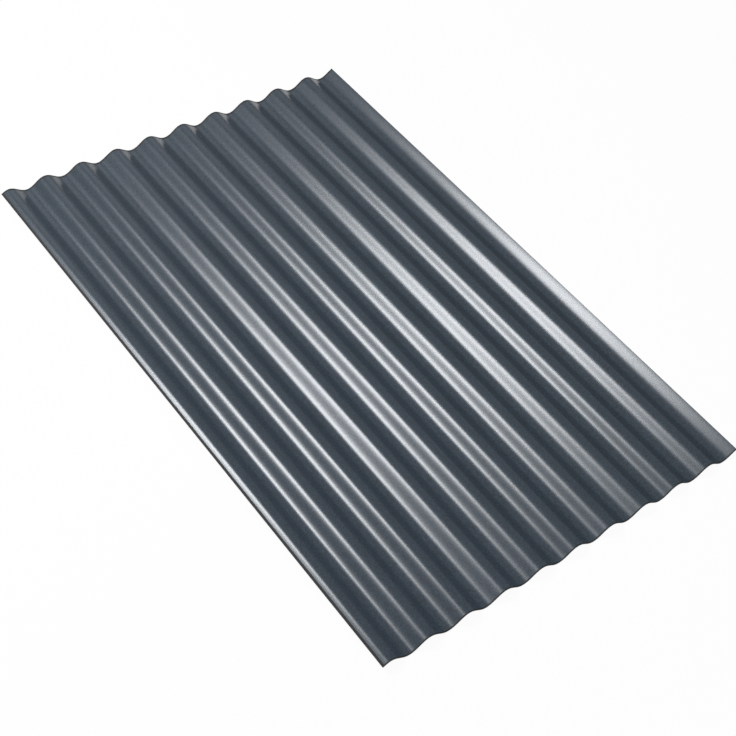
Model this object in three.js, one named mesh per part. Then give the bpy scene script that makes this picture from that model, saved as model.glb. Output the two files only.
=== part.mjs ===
// A sheet of corrugated steel: ten rolled sine waves in one piece, lying on its valleys.
//
// Millimetres, +Z up. X runs across the waves and Y along them. The origin is on the floor,
// under the middle of the sheet.

import * as THREE from "three";

// The wave.
const pitch = 76; // from one crest to the next
const depth = 18; // from the underside of a valley to the top of a crest
const thickness = 0.7;
const facetsPerWave = 40; // an even number lays a level facet on every crest and valley

// The sheet.
const length = 1200;
const crests = 10;
const pastFirstCrest = 14.7; // to the edge that is turned down, which laps over a neighbour
const pastLastCrest = 67.8; // to the edge that is turned up, which a neighbour laps over

const coating = { color: 0x3a444d, roughness: 0.38, metalness: 0.3 };

// A level facet cuts off the very top of its sine wave, so the wave is drawn that much
// taller. The level facets then lie the full depth apart.
const amplitude = (depth - thickness) / 2 / Math.cos(Math.PI / facetsPerWave);
const facet = pitch / facetsPerWave;

// A point at a distance x from the first crest, moved square to the sheet by an offset from
// its middle line.
function pointAt(x, offset) {
  const phase = (2 * Math.PI * x) / pitch;
  const slope = (-amplitude * 2 * Math.PI * Math.sin(phase)) / pitch;
  const square = new THREE.Vector2(-slope, 1).normalize();
  return new THREE.Vector2(x, amplitude * Math.cos(phase)).addScaledVector(square, offset);
}

// Where the facets meet: the two long edges, which are cut square through the sheet, and half
// a facet to either side of each crest and valley. None lies close enough to an edge to leave
// a sliver there.
function facetEnds() {
  const first = -pastFirstCrest;
  const last = (crests - 1) * pitch + pastLastCrest;
  const clear = facet / 4;
  const between = [];
  for (let count = Math.floor(first / facet); count * facet < last; count++) {
    const end = (count + 0.5) * facet;
    if (end > first + clear && end < last - clear) {
      between.push(end);
    }
  }
  return [first, ...between, last];
}

// The section goes along the lower skin and back along the upper one.
function section() {
  const ends = facetEnds();
  const lower = ends.map((x) => pointAt(x, -thickness / 2));
  const upper = ends.map((x) => pointAt(x, thickness / 2));
  return new THREE.Shape([...lower, ...upper.reverse()]);
}

function corrugatedSheet() {
  const geometry = new THREE.ExtrudeGeometry(section(), { depth: length, bevelEnabled: false });
  geometry.rotateX(Math.PI / 2);
  geometry.computeBoundingBox();
  const { min, max } = geometry.boundingBox;
  geometry.translate(-(min.x + max.x) / 2, -(min.y + max.y) / 2, -min.z);
  const sheet = new THREE.Mesh(geometry, new THREE.MeshStandardMaterial(coating));
  sheet.name = "corrugated_sheet";
  return sheet;
}

const part = new THREE.Group();
part.add(corrugatedSheet());

export default part;
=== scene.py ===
import math

import bpy
import numpy as np
from mathutils import Matrix, Vector


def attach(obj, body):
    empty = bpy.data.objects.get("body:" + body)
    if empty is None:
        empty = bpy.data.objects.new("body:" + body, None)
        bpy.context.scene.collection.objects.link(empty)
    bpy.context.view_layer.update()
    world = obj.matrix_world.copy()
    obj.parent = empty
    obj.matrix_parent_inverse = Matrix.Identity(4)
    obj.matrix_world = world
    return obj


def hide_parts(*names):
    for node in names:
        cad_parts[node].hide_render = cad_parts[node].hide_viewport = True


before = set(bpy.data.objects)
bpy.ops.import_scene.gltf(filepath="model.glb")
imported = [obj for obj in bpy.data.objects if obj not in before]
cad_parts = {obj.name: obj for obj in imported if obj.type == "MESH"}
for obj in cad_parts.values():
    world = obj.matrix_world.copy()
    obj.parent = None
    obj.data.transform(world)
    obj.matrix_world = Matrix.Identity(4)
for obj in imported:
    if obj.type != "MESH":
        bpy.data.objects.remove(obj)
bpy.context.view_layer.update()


def linear(hexColour):
    # sRGB hex to linear, with an alpha of 1
    parts = [int(hexColour[i:i + 2], 16) / 255 for i in (0, 2, 4)]
    return [c / 12.92 if c <= 0.04045 else ((c + 0.055) / 1.055) ** 2.4 for c in parts] + [1.0]


def addNode(owner, kind, links=None, **settings):
    # owner is a material or world; settings are node attributes, or inputs by name;
    # links are {input: (node, output)}
    tree = owner.node_tree
    node = tree.nodes.new(kind)
    for name, value in settings.items():
        if hasattr(node, name):
            setattr(node, name, value)
        else:
            node.inputs[name].default_value = value
    for socket, (source, output) in (links or {}).items():
        tree.links.new(source.outputs[output], node.inputs[socket])
    return node


def newMaterial(name):
    material = bpy.data.materials.new(name)
    material.use_nodes = True
    material.node_tree.nodes.clear()
    return material


# The sheet: flat coil coated steel, rolled into round waves and sheared to length. Metres.

sheet = {
    "pitch": 0.076,
    "depth": 0.018,  # over both skins
    "thickness": 0.0007,
    "length": 1.2,
    "crests": 10,
    "pastFirstCrest": 0.0147,
    "pastLastCrest": 0.0678,
    "pointsPerWave": 96,
    "rowsAlong": 24,
    "crisp": 50,  # degrees: the surface shades smoothly over any edge blunter than this
    # No two flanks leave the rolls quite alike. For each one that climbs to a crest, from the
    # -X edge: how bowed it is (-0.01 is a degree steeper halfway up), and how many mm its
    # middle sits towards the crest
    "bow": (0.02, -0.015, -0.015, 0.01, -0.01, -0.025, -0.02, -0.01, -0.04, -0.02, 0),
    "drift": (0.8, -0.2, 0.8, 0.4, 0.6, 0.6, 0, 0.2, 0.2, 1.0, 0.4),
    # each free edge springs up a little: over what width, and by how much at the edge
    "lips": ((0.012, 0.0008), (0.008, 0.0003)),
}


def middleLine(s, x):
    # z is half the rise times (cos t + k cos 3t) / (1 + k). t is the distance from the nearest
    # crest as an angle, moved by the drift times its sine; k is the bow. Flanks that fall
    # towards +X have neither.
    rise = s["depth"] - s["thickness"]
    wave = 2 * math.pi / s["pitch"]
    crest = np.rint(x / s["pitch"]).astype(int)
    away = np.abs(x - crest * s["pitch"])
    side = np.where(x < crest * s["pitch"], -1.0, 1.0)
    k = np.where(side < 0, np.array(s["bow"])[crest], 0.0)
    drift = np.where(side < 0, np.array(s["drift"])[crest] / 1000, 0.0)
    t = wave * (away + drift * np.sin(wave * away))
    z = rise / 2 * (np.cos(t) + k * np.cos(3 * t)) / (1 + k)
    turning = wave * (1 + drift * wave * np.cos(wave * away))
    slope = -side * rise / 2 * (np.sin(t) + 3 * k * np.sin(3 * t)) / (1 + k) * turning
    # a lip rises with the cube of how far it has come over its width
    for edge, way, (width, lift) in zip((x[0], x[-1]), (-1, 1), s["lips"]):
        share = np.clip(1 - np.abs(x - edge) / width, 0, 1)
        z = z + lift * share**3
        slope = slope + way * 3 * lift / width * share**2
    return z, np.arctan(slope)


def sheetSurface(s):
    # Each skin lies half a thickness off the middle line along its normal. The closed section
    # runs round the upper skin and back along the lower one; the rows run along the length.
    first = -s["pastFirstCrest"]
    last = (s["crests"] - 1) * s["pitch"] + s["pastLastCrest"]
    count = int((last - first) / s["pitch"] * s["pointsPerWave"])
    x = np.linspace(first, last, count)
    z, lean = middleLine(s, x)
    half = s["thickness"] / 2
    upper = np.stack([x - half * np.sin(lean), z + half * np.cos(lean)], 1)
    lower = np.stack([x + half * np.sin(lean), z - half * np.cos(lean)], 1)
    loop = np.concatenate([upper, lower[::-1]])
    loop[:, 0] -= (loop[:, 0].min() + loop[:, 0].max()) / 2
    loop[:, 1] += s["depth"] / 2
    y = np.linspace(-s["length"] / 2, s["length"] / 2, s["rowsAlong"] + 1)
    points = np.empty((len(y), len(loop), 3))
    points[..., 0] = loop[None, :, 0]
    points[..., 1] = y[:, None]
    points[..., 2] = loop[None, :, 1]
    return points, count


def buildSheet(s):
    points, count = sheetSurface(s)
    rows, around = points.shape[:2]
    index = np.arange(rows * around).reshape(rows, around)
    nextOne = np.roll(index, -1, axis=1)
    quads = np.stack([index[:-1], index[1:], nextOne[1:], nextOne[:-1]], -1)
    # the upper skin is 0, the lower 1, the sheared sides and ends 2
    finish = np.zeros(quads.shape[:2], int)
    finish[:, count:] = 1
    finish[:, [count - 1, around - 1]] = 2
    # each end: a quad between the skins for each step across
    k = np.arange(count - 1)
    near = np.stack([k, k + 1, around - 2 - k, around - 1 - k], -1)
    far = near[:, ::-1] + (rows - 1) * around
    faces = np.concatenate([quads.reshape(-1, 4), near, far])
    finish = np.concatenate([finish.ravel(), np.full(len(near) + len(far), 2)])
    mesh = bpy.data.meshes.new("sheet")
    mesh.from_pydata(points.reshape(-1, 3), [], faces)
    mesh.polygons.foreach_set("material_index", finish.astype(np.int32))
    mesh.update()
    mesh.shade_smooth()
    mesh.set_sharp_from_angle(angle=math.radians(s["crisp"]))
    piece = bpy.data.objects.new("sheet", mesh)
    bpy.context.scene.collection.objects.link(piece)
    return piece


piece = buildSheet(sheet)
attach(piece, "root")
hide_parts("corrugated_sheet")
print("sheet made,", len(piece.data.polygons), "faces")


# The finishes.

coating = {
    "colour": "45515d",
    "deeper": "29323a",
    "cloudShare": 0.2,  # of the change from one colour to the other
    "ior": 1.65,
    "roughness": 0.28,
    "uneven": 0.03,  # how far the roughness strays either way
    "orangePeel": 0.00004,
    # how wide each pattern is. The grain is some 0.3 mm in a real coat, and is drawn coarser
    # to show at this size.
    "grain": 0.0014,
    "mottle": 0.003,
    "cloud": 0.07,
    # the dark line painted along each sheared edge as shade: its colour, how much rougher
    # it is, how soft its border is, and how far in it reaches from -X, -Y and from +X, +Y
    "paintedShade": "0b0d0f",
    "rougher": 0.45,
    "border": 0.0004,
    "paintedShadeLow": (0.004, 0.0025, 0),
    "paintedShadeHigh": (0.0005, 0.004, 0),
}
noiseRange = {"From Min": 0.3, "From Max": 0.7}  # where nearly all of a noise pattern lies


def coilCoating(c, s):
    # Polyester coil coat, roller applied and baked: an even satin slate grey, with a soft
    # broad highlight broken up by a fine grain.
    material = newMaterial("polyesterCoilCoat")
    at = addNode(material, "ShaderNodeTexCoord")
    grain = addNode(material, "ShaderNodeTexNoise", {"Vector": (at, "Object")},
                    Scale=1 / c["grain"], Detail=2.0, Roughness=0.6)
    cloud = addNode(material, "ShaderNodeTexNoise", {"Vector": (at, "Object")},
                    Scale=1 / c["cloud"], Detail=3.0, Roughness=0.5)
    # the colour has a fine mottle, over a slow drift from the rollers
    mottle = addNode(material, "ShaderNodeTexNoise", {"Vector": (at, "Object")},
                     Scale=1 / c["mottle"], Detail=2.0, Roughness=0.6)
    fleck = addNode(material, "ShaderNodeMapRange", {"Value": (mottle, "Fac")}, **noiseRange)
    shade = addNode(material, "ShaderNodeMix", {2: (fleck, "Result"), 3: (cloud, "Fac")},
                    data_type="FLOAT")
    shade.inputs["Factor"].default_value = c["cloudShare"]
    # a Mix node's colours are its inputs 6 and 7, and the mixed colour is its output 2
    body = addNode(material, "ShaderNodeMix", {"Factor": (shade, "Result")}, data_type="RGBA")
    body.inputs[6].default_value = linear(c["colour"])
    body.inputs[7].default_value = linear(c["deeper"])
    # how far a point is into the painted shade line along any of the four sheared edges
    width = (s["crests"] - 1) * s["pitch"] + s["pastFirstCrest"] + s["pastLastCrest"]
    corner = Vector((width / 2, s["length"] / 2, 0))
    low = addNode(material, "ShaderNodeVectorMath", {1: (at, "Object")}, operation="SUBTRACT")
    low.inputs[0].default_value = Vector(c["paintedShadeLow"]) - corner
    high = addNode(material, "ShaderNodeVectorMath", {0: (at, "Object")}, operation="SUBTRACT")
    high.inputs[1].default_value = corner - Vector(c["paintedShadeHigh"])
    into = addNode(material, "ShaderNodeVectorMath", {0: (low, "Vector"), 1: (high, "Vector")},
                   operation="MAXIMUM")
    axes = addNode(material, "ShaderNodeSeparateXYZ", {0: (into, "Vector")})
    deepest = addNode(material, "ShaderNodeMath", {0: (axes, "X"), 1: (axes, "Y")},
                      operation="MAXIMUM")
    line = addNode(material, "ShaderNodeMapRange", {"Value": (deepest, "Value")}, **{
        "interpolation_type": "SMOOTHSTEP", "From Min": -c["border"], "From Max": c["border"]})
    # along that line the coat's colour turns to the painted shade
    colour = addNode(material, "ShaderNodeMix", {"Factor": (line, "Result"), 6: (body, 2)},
                     data_type="RGBA")
    colour.inputs[7].default_value = linear(c["paintedShade"])
    gloss = addNode(material, "ShaderNodeMapRange", {"Value": (grain, "Fac")}, **noiseRange, **{
        "To Min": c["roughness"] - c["uneven"], "To Max": c["roughness"] + c["uneven"]})
    dull = addNode(material, "ShaderNodeMath", {0: (line, "Result"), 2: (gloss, "Result")},
                   operation="MULTIPLY_ADD")
    dull.inputs[1].default_value = c["rougher"]
    skin = addNode(material, "ShaderNodeBump", {"Height": (grain, "Fac")},
                   Strength=1.0, Distance=c["orangePeel"])
    shader = addNode(material, "ShaderNodeBsdfPrincipled", {
        "Base Color": (colour, 2), "Roughness": (dull, "Value"), "Normal": (skin, "Normal")},
        Metallic=0.0, IOR=c["ior"])
    addNode(material, "ShaderNodeOutputMaterial", {"Surface": (shader, "BSDF")})
    return material


backing = {
    "colour": "83878a",
    "deeper": "7a7e82",
    "ior": 1.55,
    "roughness": 0.45,
    "cloud": 0.0167,  # how wide the wash's clouds are
    "relief": 0.00001,
}


def backingCoat(c):
    # Epoxy backing coat, a thin wash on the galvanised underside: paler and flatter.
    material = newMaterial("epoxyBackingCoat")
    at = addNode(material, "ShaderNodeTexCoord")
    cloud = addNode(material, "ShaderNodeTexNoise", {"Vector": (at, "Object")},
                    Scale=1 / c["cloud"], Detail=4.0)
    body = addNode(material, "ShaderNodeMix", {"Factor": (cloud, "Fac")}, data_type="RGBA")
    body.inputs[6].default_value = linear(c["colour"])
    body.inputs[7].default_value = linear(c["deeper"])
    skin = addNode(material, "ShaderNodeBump", {"Height": (cloud, "Fac")},
                   Strength=1.0, Distance=c["relief"])
    shader = addNode(material, "ShaderNodeBsdfPrincipled", {
        "Base Color": (body, 2), "Normal": (skin, "Normal")},
        Metallic=0.0, Roughness=c["roughness"], IOR=c["ior"])
    addNode(material, "ShaderNodeOutputMaterial", {"Surface": (shader, "BSDF")})
    return material


cutEdge = {
    # a dark painted shade, in two tones for the smears
    "colour": "1b1d20",
    "paler": "2a2c2f",
    "ior": 1.5,
    "roughness": 0.6,
    "drag": 0.0011,  # how wide the smears of coat are, some four times the real ones, to show
}


def shearedEdge(c):
    # Sheared steel edge, dull, its dark colour painted shade for the shadowed edge line.
    material = newMaterial("shearedSteelEdge")
    at = addNode(material, "ShaderNodeTexCoord")
    drag = addNode(material, "ShaderNodeTexNoise", {"Vector": (at, "Object")},
                   Scale=1 / c["drag"], Detail=2.0)
    body = addNode(material, "ShaderNodeMix", {"Factor": (drag, "Fac")}, data_type="RGBA")
    body.inputs[6].default_value = linear(c["colour"])
    body.inputs[7].default_value = linear(c["paler"])
    shader = addNode(material, "ShaderNodeBsdfPrincipled", {"Base Color": (body, 2)},
                     Metallic=0.0, Roughness=c["roughness"], IOR=c["ior"])
    addNode(material, "ShaderNodeOutputMaterial", {"Surface": (shader, "BSDF")})
    return material


for finish in (coilCoating(coating, sheet), backingCoat(backing), shearedEdge(cutEdge)):
    piece.data.materials.append(finish)
print("finishes made")


# The studio: a pale floor, a softbox over the far left corner, a dim panel behind and a fill.

lamps = {
    "key": {"place": (-1.26, 1.3, 2.44), "sides": (1.15, 0.77), "turn": 32, "watts": 63,
            "colour": (0.945, 0.97, 1.0)},
    "backPanel": {"place": (1.95, 5.2, 2.55), "sides": (4.0, 3.6), "turn": 90, "watts": 25,
                  "colour": (1.0, 1.0, 1.0)},
    "fill": {"place": (0.3, -3.6, 2.8), "sides": (2.5, 1.5), "turn": 90, "watts": 32,
             "colour": (1.0, 1.0, 1.0)},
}
roomLevel = 0.27  # the plain grey room all round

# The angles are in degrees, the lens and its sensor in mm.
camera = {
    "place": (-1.2174, -1.3603, 1.9465),
    "azimuth": -43.12,
    "elevation": 48.54,
    "roll": 8.69,
    "lens": 72.16,
    "sensor": 36,
}

floorPlan = {
    "reach": 60,  # from the middle to each side
    "paint": "f3f3f3",
    "glow": 0.95,  # the rest of what is seen is the lit paint, which keeps the shadow
}


def floorMaterial(c):
    # Pale matt floor paint. To the camera, and in what the sheet reflects, most of it is white.
    material = newMaterial("paleFloorPaint")
    # the glow is only for what looks at the floor: sampling it as a lamp would add noise
    material.cycles.emission_sampling = "NONE"
    rays = addNode(material, "ShaderNodeLightPath")
    seen = addNode(material, "ShaderNodeMath", {
        0: (rays, "Is Camera Ray"), 1: (rays, "Is Glossy Ray")}, operation="MAXIMUM")
    through = addNode(material, "ShaderNodeMath", {
        0: (seen, "Value"), 1: (rays, "Is Transmission Ray")}, operation="MAXIMUM")
    share = addNode(material, "ShaderNodeMath", {0: (through, "Value")}, operation="MULTIPLY")
    share.inputs[1].default_value = c["glow"]
    paint = addNode(material, "ShaderNodeBsdfDiffuse", Color=linear(c["paint"]))
    glow = addNode(material, "ShaderNodeEmission", Color=(1, 1, 1, 1), Strength=1.0)
    mix = addNode(material, "ShaderNodeMixShader", {
        "Fac": (share, "Value"), 1: (paint, "BSDF"), 2: (glow, "Emission")})
    addNode(material, "ShaderNodeOutputMaterial", {"Surface": (mix, "Shader")})
    return material


def buildFloor(c):
    mesh = bpy.data.meshes.new("floor")
    reach = c["reach"]
    corners = [(-reach, -reach, 0), (reach, -reach, 0), (reach, reach, 0), (-reach, reach, 0)]
    mesh.from_pydata(corners, [], [(0, 1, 2, 3)])
    floor = bpy.data.objects.new("floor", mesh)
    bpy.context.scene.collection.objects.link(floor)
    mesh.materials.append(floorMaterial(c))


def aimed(place, target, along):
    # -Z looks from the place to the target, Y lies as near to `along` as that allows
    back = (Vector(place) - Vector(target)).normalized()
    up = Vector(along)
    up = (up - back * back.dot(up)).normalized()
    return Matrix((up.cross(back), up, back)).transposed().to_quaternion()


def softbox(name, place, sides, turn, watts, colour):
    # turn is how far the second side is turned in plan from +X
    lamp = bpy.data.lights.new(name, "AREA")
    lamp.shape = "RECTANGLE"
    lamp.size, lamp.size_y = sides
    lamp.energy = watts
    lamp.color = colour
    holder = bpy.data.objects.new(name, lamp)
    holder.location = place
    holder.rotation_mode = "QUATERNION"
    along = (math.cos(math.radians(turn)), math.sin(math.radians(turn)), 0)
    holder.rotation_quaternion = aimed(place, (0, 0, 0), along)
    bpy.context.scene.collection.objects.link(holder)


def buildRoom(level):
    world = bpy.data.worlds.new("studio")
    bpy.context.scene.world = world
    world.use_nodes = True
    world.node_tree.nodes.clear()
    grey = addNode(world, "ShaderNodeBackground", Color=(1, 1, 1, 1), Strength=level)
    addNode(world, "ShaderNodeOutputWorld", {"Surface": (grey, "Background")})


def buildCamera(c):
    data = bpy.data.cameras.new("camera")
    data.sensor_width = c["sensor"]
    data.lens = c["lens"]
    holder = bpy.data.objects.new("camera", data)
    a, e, r = (math.radians(c[name]) for name in ("azimuth", "elevation", "roll"))
    back = Vector((math.sin(a) * math.cos(e), -math.cos(a) * math.cos(e), math.sin(e)))
    level = Vector((math.cos(a), math.sin(a), 0))
    up = back.cross(level) * math.cos(r) - level * math.sin(r)
    holder.location = c["place"]
    holder.rotation_mode = "QUATERNION"
    holder.rotation_quaternion = aimed(back, (0, 0, 0), up)
    bpy.context.scene.collection.objects.link(holder)
    bpy.context.scene.camera = holder


buildFloor(floorPlan)
for name, lamp in lamps.items():
    softbox(name, **lamp)
buildRoom(roomLevel)
buildCamera(camera)
bpy.context.scene.view_settings.view_transform = "Standard"
print("floor, lamps and camera set")
